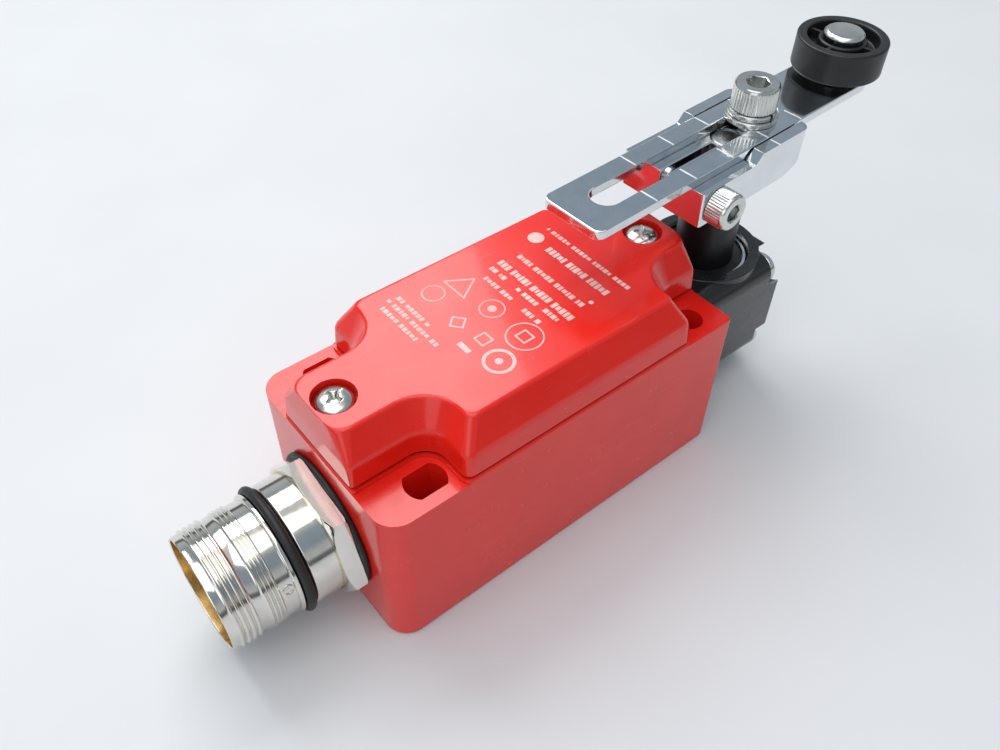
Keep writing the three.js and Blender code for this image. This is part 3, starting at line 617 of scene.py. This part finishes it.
def make_housing():
    edge = 0.9
    rings = []
    for inset, z in eased([(edge + 0.8, 0), (0, 0), (0, BASE.z1), (edge + 0.8, BASE.z1)], edge, 6):
        outline = rounded_box(BASE.x0 + inset, BASE.x1 - inset, -HALF + inset, HALF - inset,
                              max(4.5 - inset, 0.4), max(1.0 - inset, 0.2))
        rings.append([(x, y, z) for x, y in outline])
    shell = stacked("housing_body", rings)
    toe_r = 3
    toe_x = BASE.x1 - toe_r
    toe = [(BASE.x1 + 1, -1), (BASE.x1 + 1, toe_r), *arc(toe_x, toe_r, toe_r, 0, -90, 14), (toe_x, -1)]
    well = [(-24.2, -16.8), (24.2, -16.8), (24.2, -9.4), (30.5, -9.4), (30.5, 9.4), (24.2, 9.4), (24.2, 16.8),
            (-24.2, 16.8), (-24.2, 9.4), (-32, 9.4), (-32, -9.4), (-24.2, -9.4)]
    above_rim = prism("tool", cover_outline(-0.35), PAD_Z - 1, BASE.z1 + 2)
    pads = cut(block("tool", BASE.x0 - 1, BASE.x1 + 1, -HALF - 1, HALF + 1, PAD_Z, BASE.z1 + 1), above_rim)
    port = Span("connector_shell")
    cut(
        shell, side_prism("tool", toe, -HALF - 1, HALF + 1), pads, prism("tool", well, 3.5, BASE.z1 + 1),
        *fixing_cutters(), bar("tool", "x", BASE.x0 - 1, -31, (0, 0, port.z), 10.2, FINE),
        bar("tool", "x", 30, BASE.x1 + 1, (0, 0, Span("drive_plunger").z), 4.6),
    )
    ease_edges(shell, 0.28)
    return dress(shell, "red_paint", "housing", "housing_base")


COVER_SCREWS = ("cover_screw_connector_end", "cover_screw_head_end")
BORE_R = 3.75
SHANK_BORE_R = 2.2
COVER_SCREW_HEAD = 2.4


def make_cover():
    """Straight walls with a slightly eased foot, a broad sloping shoulder and a flat top."""
    profile = eased([(0, CAP.z0 + 0.15), (0.25, 38.5), (3.3, CAP.z1), (4.6, CAP.z1)], 0.8, 7)
    profile = [(0.15, CAP.z0), *profile[:-1]]
    shell = stacked("cover_shell", [[(x, y, z) for x, y in cover_outline(inset)] for inset, z in profile])
    tools = [block("tool", -22, 22, -14, 14, CAP.z0 - 1, CAP.z1 - 3)]
    for node in COVER_SCREWS:
        screw = Span(node)
        seat_z = screw.z1 - COVER_SCREW_HEAD
        z0, z1 = CAP.z0 - 1, CAP.z1 + 1
        bore = [(0, z0), (SHANK_BORE_R, z0), (SHANK_BORE_R, seat_z), (BORE_R, seat_z), (BORE_R, z1), (0, z1)]
        tools.append(turned("tool", bore, (screw.x, 0, 0)))
    cut(shell, *tools)
    ease_edges(shell, 0.12)
    return dress(shell, "red_paint", "housing", "cover")


# ---------------------------------------------------------------- printed legend
PRINT_LIFT, PRINT_THICK = 0.012, 0.03


def words(bm_boxes, x, y0, y1, height, seed):
    """A greeked line of print: short bars of uneven length along Y, in place of any lettering."""
    y = y0
    step = 0
    while y - 0.8 > y1:
        length = 0.42 + 0.5 * abs(math.sin(seed * 2.3 + step * 1.7))
        reach = height * (0.5 if (step * 3 + seed) % 5 else 0.38)
        bm_boxes.append((x - reach, x + reach, max(y - length, y1), y))
        gap = 0.24 if (step + seed) % 5 else 0.8
        y -= length + gap
        step += 1


def make_legend():
    """Rows of bars and a few plain shapes that stand in for the printed legend. Nothing in it can be read."""
    z0 = CAP.z1 + PRINT_LIFT
    bars = []
    for row, (x, y0, y1, height) in enumerate([
            (17.6, 11.3, -10.9, 0.9), (13.7, 6.9, -9.4, 1.5), (8.3, 8.6, -8.5, 1.1), (4.6, 9.4, -9.8, 1.45),
            (2.3, 9.1, 4.0, 1.0), (2.3, 1.9, -4.0, 1.0), (2.5, -5.1, -9.4, 1.0), (-0.2, 7.6, -0.6, 1.0),
            (-0.3, -2.9, -7.5, 1.0), (-15.2, 12.7, 3.2, 0.9), (-16.9, 13.2, -1.9, 0.9),
            (-18.8, 12.2, 1.3, 0.9)]):
        words(bars, x, y0, y1, height, row)
    bars.append((-14.2, -13.2, -5.4, -2.6))
    pieces = [block("bar", x0, x1, y0, y1, z0, z0 + PRINT_THICK) for x0, x1, y0, y1 in bars]
    rings = [(-4.3, 0.5, 2.3, 2.08), (-4.3, -8.1, 3.3, 3.05), (-9.8, 9.8, 2.1, 1.88), (-11.2, -9.9, 2.8, 2.2)]
    for x, y, outer, inner in rings:
        profile = [(inner, 0), (outer, 0), (outer, PRINT_THICK), (inner, PRINT_THICK)]
        pieces.append(turned("ring", profile, (x, y, z0), "z", SMALL))
    for x, y, r in ((14.1, 10.6, 1.55), (-4.3, 0.5, 0.8), (-11.2, -9.9, 0.7), (10.0, -8.7, 0.45)):
        pieces.append(bar("dot", "z", 0, PRINT_THICK, (x, y, z0), r))
    for x, y, turn in ((-4.3, -8.1, 0), (-10.9, 1.4, 40), (-10.0, -4.4, 0)):
        pieces.append(open_square(x, y, 1.25, 0.3, turn, z0))
    pieces.append(open_triangle((-6.6, 11.4), (-1.7, 8.4), (-6.5, 5.4), z0))
    bpy.ops.object.select_all(action="DESELECT")
    for piece in pieces:
        piece.select_set(True)
    bpy.context.view_layer.objects.active = pieces[0]
    bpy.ops.object.join()
    legend = pieces[0]
    legend.name = "printed_legend"
    legend.data.materials.clear()
    legend.data.materials.append(white_print())
    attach(legend, "housing")


def frame_shape(name, outer, inner, z0):
    """A flat loop between two outlines that have the same number of points."""
    bm = bmesh.new()
    levels = [[bm.verts.new((x, y, z)) for x, y in outline]
              for z in (z0, z0 + PRINT_THICK) for outline in (outer, inner)]
    low_out, low_in, high_out, high_in = levels
    count = len(outer)
    for i in range(count):
        j = (i + 1) % count
        for a, b in ((low_out, low_in), (low_in, high_in), (high_in, high_out), (high_out, low_out)):
            bm.faces.new((a[i], a[j], b[j], b[i]))
    return to_object(name, bm)


def open_square(x, y, half, line, turn, z0):
    def corners(reach):
        return [(x + reach * math.cos(t), y + reach * math.sin(t))
                for t in (math.radians(turn + 45 + 90 * i) for i in range(4))]
    return frame_shape("square", corners(half * math.sqrt(2)), corners((half - line) * math.sqrt(2)), z0)


def open_triangle(a, b, c, z0):
    corners = [Vector(p) for p in (a, b, c)]
    middle = sum(corners, Vector((0, 0))) / 3
    inner = [tuple(middle + (p - middle) * 0.84) for p in corners]
    return frame_shape("triangle", [tuple(p) for p in corners], inner, z0)


# ---------------------------------------------------------------- screws
def cross_tools(r, z0, z1):
    """The cutters of a combination cross recess: two tapered arms and a small centre cone."""
    arm, width = r * 0.56, r * 0.13
    tools = []
    for turn in (0, 90):
        foot, side = arm * 0.45, width * 0.7
        low = [(-foot, -side), (foot, -side), (foot, side), (-foot, side)]
        high = [(-arm, -width), (arm, -width), (arm, width), (-arm, width)]
        rings = []
        for outline, z in ((low, z0), (high, z1)):
            spin = Matrix.Rotation(math.radians(turn), 3, "Z")
            rings.append([tuple(spin @ Vector((x, y, z))) for x, y in outline])
        tools.append(stacked("tool", rings))
    tools.append(turned("tool", [(0, z0 - 0.1), (width * 1.1, z0), (width * 2.4, z1), (0, z1)], sides=24))
    tools.append(block("tool", -r * 0.72, r * 0.72, -r * 0.045, r * 0.045, z1 - r * 0.22, z1))
    return tools


def pan_head(name, r, height, shank_r, shank):
    """A pan head with rounded shoulders and a cross recess, standing on z = 0 with its shank below."""
    crown = [(r, 0.18), (r, height * 0.38)]
    dome = [(r * math.cos(t), height * 0.38 + height * 0.62 * math.sin(t))
            for t in (math.pi / 2 * (i + 1) / 14 for i in range(14))]
    dome = [(max(x, 0), z) for x, z in dome]
    dome[-1] = (0, height)
    profile = [(0, -shank), (shank_r, -shank), (shank_r, 0), (r - 0.15, 0), *crown, *dome]
    body = turned(name, profile, sides=72)
    cut(body, *cross_tools(r, height * 0.30, height + 0.3))
    return body


def lay(obj, axis, at):
    """Turns a piece that stands along +Z to look along an axis, then puts it at a point in millimetres."""
    quarter = math.pi / 2
    turns = {
        "z": Matrix.Identity(4), "x": Matrix.Rotation(quarter, 4, "Y"), "-y": Matrix.Rotation(quarter, 4, "X"),
    }
    obj.data.transform(Matrix.Translation(Vector(at) * MM) @ turns[axis])
    return obj


def make_cover_screws():
    for i, node in enumerate(COVER_SCREWS):
        span = Span(node)
        r = (span.x1 - span.x0) / 2
        screw = pan_head(f"{node}_detailed", r, 2.4, 2.0, 12)
        screw.data.transform(Matrix.Rotation(math.radians(20 + 27 * i), 4, "Z"))
        lay(screw, "z", (span.x, 0, span.z1 - 2.4))
        ease_edges(screw, 0.06)
        dress(screw, "zinc", "housing", node)


def make_head_screws():
    for i in range(1, 5):
        node = f"head_screw_{i}"
        span = Span(node)
        r = (span.y1 - span.y0) / 2
        screw = pan_head(f"{node}_detailed", r, 2.2, 1.6, 24)
        screw.data.transform(Matrix.Rotation(math.radians(11 + 31 * i), 4, "Z"))
        lay(screw, "x", (span.x1 - 2.2, span.y, span.z))
        ease_edges(screw, 0.06)
        dress(screw, "zinc", "housing", node)


def knurled_cap(name, r, height, shank_r, shank, across_flats):
    """A socket-head cap screw: knurled side, turned top edge, broached hexagon and a plain shank below."""
    ribs = 40

    def knurl(turn, h):
        inside = 0.25 < h < height - 0.75
        return (0.5 + 0.5 * math.cos(ribs * turn)) * 0.13 - 0.13 if inside else 0.0

    rise = [height * 0.1 + (height * 0.9 - 0.8) * i / 6 for i in range(7)]
    profile = [
        (0, -shank), (shank_r - 0.4, -shank), (shank_r, -shank + 0.5), (shank_r, 0), (r - 0.25, 0), (r, 0.24),
        *[(r, h) for h in rise],
        (r, height - 0.7), (r - 0.08, height - 0.35), (r - 0.4, height), (0, height),
    ]
    body = turned(name, profile, sides=ribs * 6, swell=knurl)
    size = across_flats / math.sqrt(3)
    socket = [(0, height * 0.42), (size, height * 0.5), (size, height + 1), (0, height + 1)]
    hexagon = turned("tool", socket, sides=6)
    low, high = height - 0.3, height + 0.05
    mouth = turned("tool", [(0, low), (size * 0.82, low), (size * 1.12, high), (0, high)])
    return cut(body, hexagon, mouth)


# ---------------------------------------------------------------- plug connector
def make_connector():
    port = Span("connector_shell")
    z = port.z
    rim = port.x0
    groove = [
        (11.3, -41.6), (11.3, -49.6), (11.0, -49.95), (10.1, -50.0), (10.1, -51.9),
        (11.05, -51.95), (11.2, -52.1), (11.2, -52.6), (11.0, -52.8), (10.6, -52.9),
    ]
    profile = [(9.9, -33.9), (9.9, -41.6), *eased(groove, 0.12, 3)]
    for start, pitch, count, root in ((-55.2, 0.72, 4, 10.62), (-59.6, 1.02, 4, 10.5)):
        for i in range(count):
            x = start - pitch * i
            crest = 10.92 + 0.03 * (count - i) / count
            profile += [(root, x), (crest - 0.06, x - pitch * 0.3), (crest, x - pitch * 0.4),
                        (crest, x - pitch * 0.56), (crest - 0.06, x - pitch * 0.66), (root, x - pitch * 0.94)]
        profile.append((root, start - pitch * count - 0.1))
    profile += [(10.5, rim + 0.7), (10.5, rim + 0.2), (10.35, rim), (10.15, rim), (10.0, rim + 0.15)]
    profile += [(9.95, -60), (9.9, -53), (9.3, -52), (9.3, -51.2), (8.7, -51.2), (8.7, -44.8), (7.8, -44.8)]
    profile.append((7.8, -33.9))
    shell = turned("connector_body", profile, (0, 0, z), "x", 144)
    size = 24 / math.sqrt(3)
    corners = [math.radians(12 + 60 * i) for i in range(6)]
    hexagon = [(size * math.cos(t), z + size * math.sin(t)) for t in corners]
    chamfers = [
        (0, -46), (11.45, -46), (11.45, -44.95), (12.6, -44.75), (13.9, -43.9), (13.95, -41.9),
        (13.4, -41.6), (0, -41.6),
    ]
    crown = turned("tool", chamfers, (0, 0, z), "x")
    flange = end_prism("connector_flange", hexagon, -44.9, -41.65)
    combine(flange, [crown], "INTERSECT")
    cut(flange, bar("tool", "x", -46, -41, (0, 0, z), 9.2, FINE))
    ease_edges(flange, 0.12)
    settle(flange)
    join(shell, flange)
    ease_edges(shell, 0)
    dress(shell, "nickel", "housing", "connector_shell")
    shell.data.materials.append(FINISHES["brass"])
    for face in shell.data.polygons:
        middle = face.center / MM
        if math.hypot(middle.y, middle.z - z) < 9.98 and middle.x < -44:
            face.material_index = 1


def make_connector_mark():
    """A small raised ring on the sleeve, beside the O-ring."""
    around, r = math.radians(162), 10.6
    section = [(0.62, -0.1), (1.0, -0.1), (0.98, 0.12), (0.82, 0.2), (0.66, 0.12)]
    ring = turned("connector_key_mark", section, sides=SMALL)
    dot = turned("dot", [(0, -0.1), (0.32, -0.1), (0.28, 0.1), (0, 0.16)], sides=24)
    join(ring, dot)
    normal = Vector((0, math.cos(around), math.sin(around)))
    place = Vector((-53.95, 0, Span("connector_shell").z)) + normal * r
    ring.data.transform(Matrix.Translation(place * MM) @ normal.to_track_quat("Z", "X").to_matrix().to_4x4())
    ease_edges(ring, 0)
    return dress(ring, "nickel", "housing")


def make_connector_seals():
    z = Span("connector_shell").z
    span = Span("connector_o_ring")
    section = [(r, x) for r, x in arc(11.1, span.x, 0.86, 0, 350, 26)]
    ring = turned("connector_o_ring_detailed", section, (0, 0, z), "x")
    ease_edges(ring, 0)
    dress(ring, "rubber", "housing", "connector_o_ring")
    span = Span("connector_seal")
    section = [
        (10.3, span.x0), (12.8, span.x0), (13.0, span.x0 + 0.3),
        (13.0, span.x1 - 0.3), (12.8, span.x1), (10.3, span.x1),
    ]
    seal = turned("connector_seal_detailed", eased(section, 0.15, 3), (0, 0, z), "x")
    ease_edges(seal, 0)
    dress(seal, "rubber", "housing", "connector_seal")


def make_pins():
    for i in range(1, 10):
        node = f"connector_pin_{i}"
        span = Span(node)
        r = (span.y1 - span.y0) / 2
        turns = [math.pi / 2 * k / 8 for k in range(9)]
        tip = [(r * math.sin(t), span.x0 + r * (1 - math.cos(t))) for t in turns]
        pin = turned(f"{node}_detailed", [*tip, (r, span.x1), (0, span.x1)], (0, span.y, span.z), "x", 24)
        ease_edges(pin, 0)
        dress(pin, "gold", "housing", node)


# ---------------------------------------------------------------- head
def make_head():
    span = Span("head_housing")
    half, deck = span.y1, span.z0 + 2 * span.y1
    middle = (span.z0 + deck) / 2
    rings = []
    for inset, x in eased([(1.6, span.x0), (0, span.x0), (0, span.x1), (2.0, span.x1)], 0.8, 5):
        reach = half - inset
        outline = rounded_box(-reach, reach, middle - reach, middle + reach, max(4 - inset, 1))
        rings.append([(x, y, h) for y, h in outline])
    head = stacked("turret_head", rings)
    tower = eased([(0, middle), (11.5, middle), (11.5, span.z1), (0, span.z1)], 0.3, 3)
    tower = turned("tool", tower, (SHAFT_X, 0, 0))
    join(head, tower)
    top = deck + 2
    mouth = [(0, 24), (6.1, 24), (6.1, 28.8), (9.2, 28.8), (9.2, top), (0, top)]
    tools = [
        block("tool", span.x0 - 1, 57.7, -6.8, 6.8, 8, 24.4),
        bar("tool", "z", 6.3, 9, (SHAFT_X, 0, 0), 2.6), turned("tool", mouth, (SHAFT_X, 0, 0)),
    ]
    for i in range(1, 5):
        screw = Span(f"head_screw_{i}")
        tools.append(bar("tool", "x", span.x0 - 1, span.x1 + 1, (0, screw.y, screw.z), 1.75))
        tools.append(bar("tool", "x", screw.x1 - 2.25, span.x1 + 2, (0, screw.y, screw.z), 4.2, FINE))
    cut(head, *tools)
    ease_edges(head, 0.3)
    return dress(head, "black_paint", "housing", "head_housing")


def make_head_turnings():
    rows = [
        ("shaft_bush", "black_plastic", 6.0, 3.1, 0.5), ("shaft_seal", "rubber", 8.1, 6.15, 0.15),
        ("retaining_ring", "chrome", 9.1, 8.25, 0.25),
    ]
    for node, slot, outer, inner, edge in rows:
        span = Span(node)
        section = [
            (inner, span.z0), (outer, span.z0), (outer, span.z1 - edge),
            (outer - edge, span.z1), (inner, span.z1),
        ]
        piece = turned(f"{node}_detailed", eased(section, edge * 0.8, 4), (SHAFT_X, 0, 0))
        ease_edges(piece, 0)
        dress(piece, slot, "housing", node)


# ---------------------------------------------------------------- lever
HUB = {"x0": 33.5, "x1": 63.5, "half": 9.4, "rail": 48.0, "wall": 2.3}
ARM = {"tail": 10.0, "half": 6.8, "slot_half": 2.8, "slot_x0": 18.6, "slot_x1": 61.0}
PINCH_X = 37.5
MARK_PITCH = 10.0
INDEX_X = 54.0


def make_hub():
    """The clamp block: pinched round the shaft at its slit end, with two rails that guide the arm."""
    span = Span("lever_hub")
    arm = Span("lever_arm")
    z0, z1 = span.z0, span.z1
    bed = arm.z0 - 0.05
    x0, x1, half, rail = HUB["x0"], HUB["x1"], HUB["half"], HUB["rail"]
    hub = prism("clamp_hub", rounded_box(x0, x1, -half, half, 0.6, 2.0), z0, z1)
    inner = half - HUB["wall"]
    ramp = [(x0 - 1, bed), (rail - 0.2, bed), (rail + 1.5, z1 + 0.05), (rail + 1.5, z1 + 1), (x0 - 1, z1 + 1)]
    nose = [
        (57.8, z0 - 1), (x1 + 1, z0 - 1), (x1 + 1, z0 + 4.2),
        (x1 - 0.1, z0 + 3.4), (61.4, z0 + 1.4), (57.8, z0),
    ]
    pinch = Span("hub_clamp_screw")
    bolt_x = along_lever("arm_bolt")
    cut(
        hub, block("tool", x0 - 1, x1 + 1, -inner, inner, bed, z1 + 1),
        side_prism("tool", ramp, -half - 1, half + 1), side_prism("tool", nose, -half - 1, half + 1),
        block("tool", x0 - 1, SHAFT_X, -0.7, 0.7, z0 - 1, z1 + 1),
        bar("tool", "z", z0 - 1, z1 + 1, (SHAFT_X, 0, 0), 3.1, FINE),
        bar("tool", "z", z0 - 1, z1 + 1, (bolt_x, 0, 0), 2.6),
        bar("tool", "y", -half - 1, half + 1, (PINCH_X, 0, pinch.z), 2.15),
    )
    ease_edges(hub, 0.28)
    settle(hub)
    line_z = z1 - 0.1
    cut(hub, block("tool", INDEX_X - 0.2, INDEX_X + 0.2, -half - 0.1, -inner + 0.1, line_z, z1 + 0.5))
    ease_edges(hub, 0)
    dress(to_lever(hub), "chrome", "hub", "lever_hub")
    paint_mark_highlights(hub, line_z)


def paint_mark_highlights(obj, floor_z):
    """Gives the floors of the cut marks, which all lie at floor_z, a light finish that is a painted highlight on
    the marks.
    """
    # the mark floors get the painted-highlight finish
    obj.data.materials.append(ENGRAVING_PAINTED_HIGHLIGHT)
    for face in obj.data.polygons:
        if abs(face.center.z / MM - floor_z) < 0.01:
            face.material_index = 1


def make_arm():
    """A slotted flat arm with rounded edges and graduations cut into its top."""
    span = Span("lever_arm")
    z0, z1 = span.z0, span.z1
    tail, half, slot_half = ARM["tail"], ARM["half"], ARM["slot_half"]
    tip = along_lever("roller")
    outline = [
        *arc(tail + 1.8, -half + 1.8, 1.8, 180, 270), *arc(tip, 0, half, -90, 90, 40),
        *arc(tail + 1.8, half - 1.8, 1.8, 90, 180),
    ]
    arm = prism("slotted_arm", outline, z0, z1)
    slot = [*arc(ARM["slot_x0"], 0, slot_half, 90, 270, 24), *arc(ARM["slot_x1"], 0, slot_half, -90, 90, 24)]
    cut(arm, prism("tool", slot, z0 - 1, z1 + 1), bar("tool", "z", z0 - 1, z1 + 1, (tip, 0, 0), 3.0))
    ease_edges(arm, 0.30)
    settle(arm)
    grooves = []
    for side, first, count in ((-1, 24.0, 5), (1, 29.0, 4)):
        for i in range(count):
            x = first + MARK_PITCH * i
            y0, y1 = sorted((side * (slot_half - 0.1), side * (half + 0.1)))
            grooves.append(block("tool", x - 0.2, x + 0.2, y0, y1, z1 - 0.1, z1 + 0.5))
    cut(arm, *grooves)
    ease_edges(arm, 0)
    dress(to_lever(arm), "chrome", "arm", "lever_arm")
    paint_mark_highlights(arm, z1 - 0.1)


def make_lever_screws():
    pinch = Span("hub_clamp_screw")
    screw = knurled_cap("hub_clamp_screw_detailed", 3.5, 4.0, 1.95, 17.5, 3.0)
    lay(screw, "-y", (PINCH_X, -HUB["half"] - 0.05, pinch.z))
    ease_edges(screw, 0)
    dress(to_lever(screw), "zinc", "hub", "hub_clamp_screw")
    bolt = Span("arm_bolt")
    screw = knurled_cap("arm_bolt_detailed", 4.25, 5.0, 2.4, 9.5, 4.0)
    lay(screw, "z", (along_lever("arm_bolt"), 0, bolt.z1 - 5.0))
    ease_edges(screw, 0)
    dress(to_lever(screw), "zinc", "hub", "arm_bolt")


def make_washers():
    for node, outer in (("flat_washer", 5.0), ("lock_washer", 4.5)):
        span = Span(node)
        section = [(2.6, span.z0), (outer, span.z0), (outer, span.z1), (2.6, span.z1)]
        section = eased([*section, section[0]], 0.16, 3)[:-1]
        washer = turned(f"{node}_detailed", section, (along_lever(node), 0, 0))
        if node == "lock_washer":
            x = along_lever(node)
            cut(washer, block("tool", x - 0.35, x + 0.35, -outer - 1, -1, span.z0 - 1, span.z1 + 1))
        ease_edges(washer, 0)
        dress(to_lever(washer), "zinc", "hub", node)


def make_roller():
    """A moulded roller: an outer rim, a hub round the pin, and four thin spokes across its dished face."""
    span = Span("roller")
    x, r = along_lever("roller"), (span.y1 - span.y0) / 2
    z0, z1 = span.z0, span.z1
    rim, hub, dish = 1.9, 4.9, 2.4
    section = eased([
        (3.05, z0), (r, z0), (r, z1), (r - rim, z1), (r - rim - 0.2, z1 - dish), (hub, z1 - dish),
        (hub - 0.2, z1 - 0.5), (3.05, z1 - 0.5)], 0.45, 5)
    wheel = turned("roller_wheel", section, (x, 0, 0))
    spokes = []
    for i in range(4):
        spoke = block("spoke", 4.4, r - rim + 0.3, -0.35, 0.35, z1 - dish - 0.3, z1 - 0.75)
        turn = Matrix.Rotation(math.radians(5 + 90 * i), 4, "Z")
        spoke.data.transform(Matrix.Translation((x * MM, 0, 0)) @ turn)
        spokes.append(spoke)
    join(wheel, *spokes)
    ease_edges(wheel, 0.08)
    dress(to_lever(wheel), "black_plastic", "roller", "roller")


def make_roller_pin():
    span = Span("roller_pin")
    roller, arm = Span("roller"), Span("lever_arm")
    dome_z = roller.z1 - 0.15
    crown = eased([(4.0, dome_z), (4.0, span.z1 - 0.65), (3.45, span.z1 - 0.12), (0.01, span.z1)], 0.25, 4)
    under_arm, over_arm, under_roller = arm.z0 - 0.05, arm.z1 + 0.05, roller.z0 - 0.1
    low = [
        (0, span.z0), (3.2, span.z0), (4.0, 55.5), (4.0, under_arm), (2.9, under_arm),
        (2.9, over_arm), (4.8, over_arm), (4.8, under_roller), (2.9, under_roller), (2.9, dome_z),
    ]
    profile = [*eased(low, 0.15, 3), *crown[:-1], (0, span.z1)]
    pin = turned("roller_pin_detailed", profile, (along_lever("roller_pin"), 0, 0))
    ease_edges(pin, 0)
    dress(to_lever(pin), "zinc", "arm", "roller_pin")


# ---------------------------------------------------------------- CAD nodes that stay
def finish_cad_nodes():
    """Every CAD node that is still shown gets its procedural finish, welded points and softened edges."""
    slots = {part["node"]: part["material_slot"] for part in frame["record"]["subparts"]}
    for node, obj in frame["nodes"].items():
        if obj.hide_render:
            continue
        for place in obj.material_slots:
            place.material = FINISHES[slots[node]]
        weld = obj.modifiers.new("weld", "WELD")
        weld.merge_threshold = 0.002 * MM
        edges = obj.modifiers.new("edges", "BEVEL")
        edges.limit_method = "ANGLE"
        edges.angle_limit = math.radians(40)
        edges.width = 0.1 * MM
        edges.segments = 2
        shading = obj.modifiers.new("shading", "WEIGHTED_NORMAL")
        shading.keep_sharp = True


# ---------------------------------------------------------------- build
make_camera()
make_studio()
make_housing()
make_cover()
make_legend()
make_cover_screws()
make_connector()
make_connector_mark()
make_connector_seals()
make_pins()
make_head()
make_head_turnings()
make_head_screws()
make_hub()
make_arm()
make_lever_screws()
make_washers()
make_roller()
make_roller_pin()
finish_cad_nodes()
